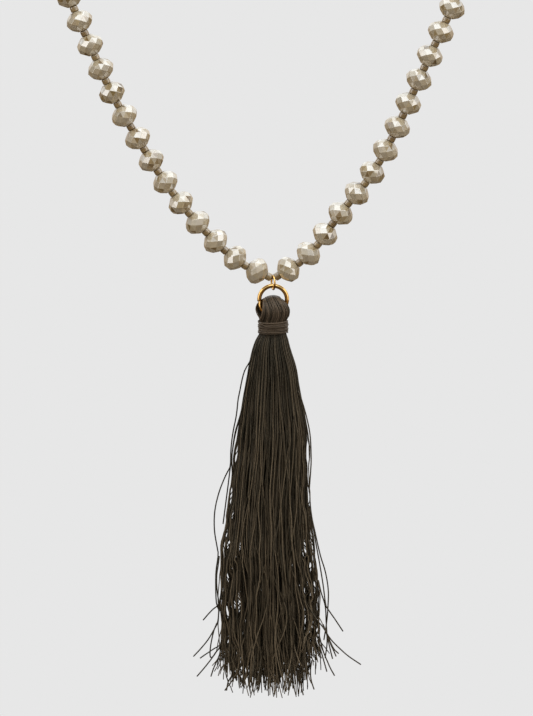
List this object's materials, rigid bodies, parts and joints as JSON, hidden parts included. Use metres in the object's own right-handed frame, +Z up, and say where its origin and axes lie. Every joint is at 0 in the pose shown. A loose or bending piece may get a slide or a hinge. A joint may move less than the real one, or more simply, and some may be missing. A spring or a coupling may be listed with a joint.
{
  "type": "tassel necklace",
  "caption": "Long necklace of faceted glass rondelles on a thread, with a long thread tassel hung from two jump rings at the bottom of the V.",
  "frame": {"origin": "middle of the nape, where the strand rests on the back of the wearer's neck", "axes": "+Z up along the wearer's neck and the hanging tassel, the wearer faces -Y, +X to the wearer's left"},
  "size_m": [0.1635, 0.1313, 0.3206],
  "materials": {
    "glass_bead": "opaque pressed and polished glass with a lustre coating",
    "seed_bead": "opaque drawn glass, tumbled round, lustre coated",
    "bead_thread": "twisted beading thread",
    "gold": "drawn wire, yellow gold plated and polished",
    "tassel_thread": "twisted rayon thread, dyed dark olive brown"
  },
  "bodies": {
    "strand": {"glass_beads": "glass_bead", "bead_thread": "bead_thread"},
    "link": {"connecting_ring": "gold"},
    "drop": {"tassel_ring": "gold", "tassel": "tassel_thread", "neck_binding": "tassel_thread"}
  },
  "joints": [
    {"name": "drop_swing", "type": "hinge", "parent": "strand", "child": "link", "pos_m": [0, -0.114, -0.19], "axis": [1, 0, 0], "range_deg": [-65, 65]},
    {"name": "ring_sway", "type": "hinge", "parent": "link", "child": "drop", "pos_m": [0, -0.114, -0.19316], "axis": [0, 1, 0], "range_deg": [-12, 12]}
  ]
}
